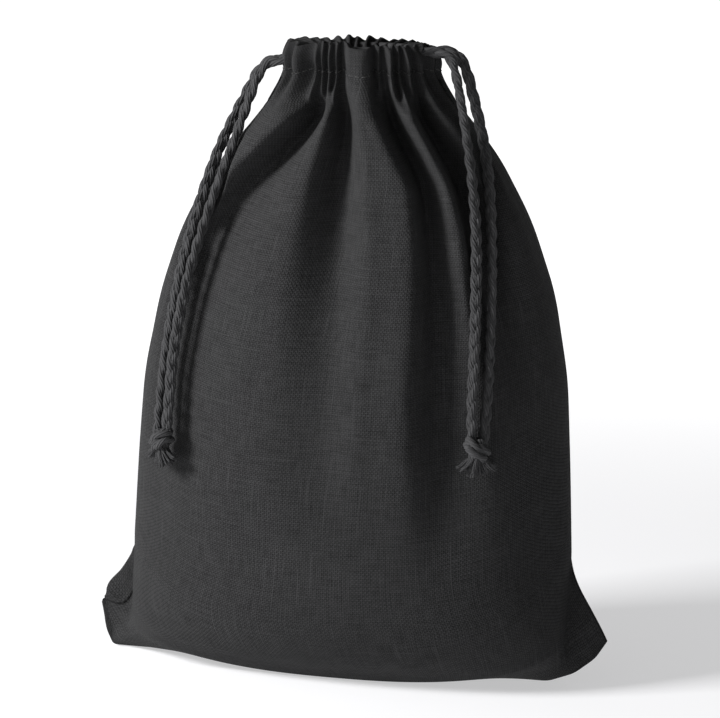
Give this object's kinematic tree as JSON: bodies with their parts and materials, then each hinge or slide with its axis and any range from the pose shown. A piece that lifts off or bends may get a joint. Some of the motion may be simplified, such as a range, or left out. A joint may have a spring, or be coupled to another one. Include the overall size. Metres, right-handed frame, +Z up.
{
  "type": "drawstring gift sack",
  "caption": "Cloth drawstring pouch that stands filled, with a gathered channel at the mouth and two drawcords, each tied in a knot with a frayed tassel at its own side.",
  "frame": {"origin": "middle of the underside that the sack stands on", "axes": "+X to the sack's right side as seen from the front, -Y out of its front, +Z up"},
  "size_m": [0.1996, 0.0888, 0.24],
  "materials": {
    "cloth": "matte plain weave, charcoal black",
    "cord": "matte twisted cotton, charcoal black",
    "thread": "matte sewing thread"
  },
  "bodies": {
    "sack": {"front_panel": "cloth", "back_panel": "cloth", "left_side_seam": "cloth", "right_side_seam": "cloth", "bottom_seam": "cloth", "left_channel_end": "cloth", "right_channel_end": "cloth", "left_cord_return": "cord", "right_cord_return": "cord"},
    "front_rim": {"front_channel": "cloth", "front_channel_stitching": "thread", "left_cord_front_run": "cord", "right_cord_front_run": "cord"},
    "back_rim": {"back_channel": "cloth", "back_channel_stitching": "thread", "left_cord_back_run": "cord", "right_cord_back_run": "cord"},
    "left_drawcord": {"left_cord_front_exit": "cord", "left_cord_back_exit": "cord"},
    "left_tail": {"left_cord_front_leg": "cord", "left_cord_back_leg": "cord", "left_knot": "cord", "left_tassel": "cord"},
    "right_drawcord": {"right_cord_front_exit": "cord", "right_cord_back_exit": "cord"},
    "right_tail": {"right_cord_front_leg": "cord", "right_cord_back_leg": "cord", "right_knot": "cord", "right_tassel": "cord"}
  },
  "joints": [
    {"name": "mouth_front", "type": "slide", "parent": "sack", "child": "front_rim", "axis": [0, -1, 0], "range_m": [0, 0.01]},
    {"name": "mouth_back", "type": "slide", "parent": "sack", "child": "back_rim", "axis": [0, 1, 0], "range_m": [0, 0.01]},
    {"name": "left_cord_pull", "type": "slide", "parent": "sack", "child": "left_drawcord", "axis": [-1, 0, 0], "range_m": [0, 0.008]},
    {"name": "right_cord_pull", "type": "slide", "parent": "sack", "child": "right_drawcord", "axis": [1, 0, 0], "range_m": [0, 0.008]},
    {"name": "left_tail_swing", "type": "hinge", "parent": "left_drawcord", "child": "left_tail", "pos_m": [-0.0241, 0, 0.2321], "axis": [0, 1, 0], "range_deg": [0, 50]},
    {"name": "right_tail_swing", "type": "hinge", "parent": "right_drawcord", "child": "right_tail", "pos_m": [0.0333, 0, 0.2362], "axis": [0, -1, 0], "range_deg": [0, 50]}
  ],
  "couplings": [
    {"joint": "mouth_back", "follows": "mouth_front", "ratio": 1}
  ]
}
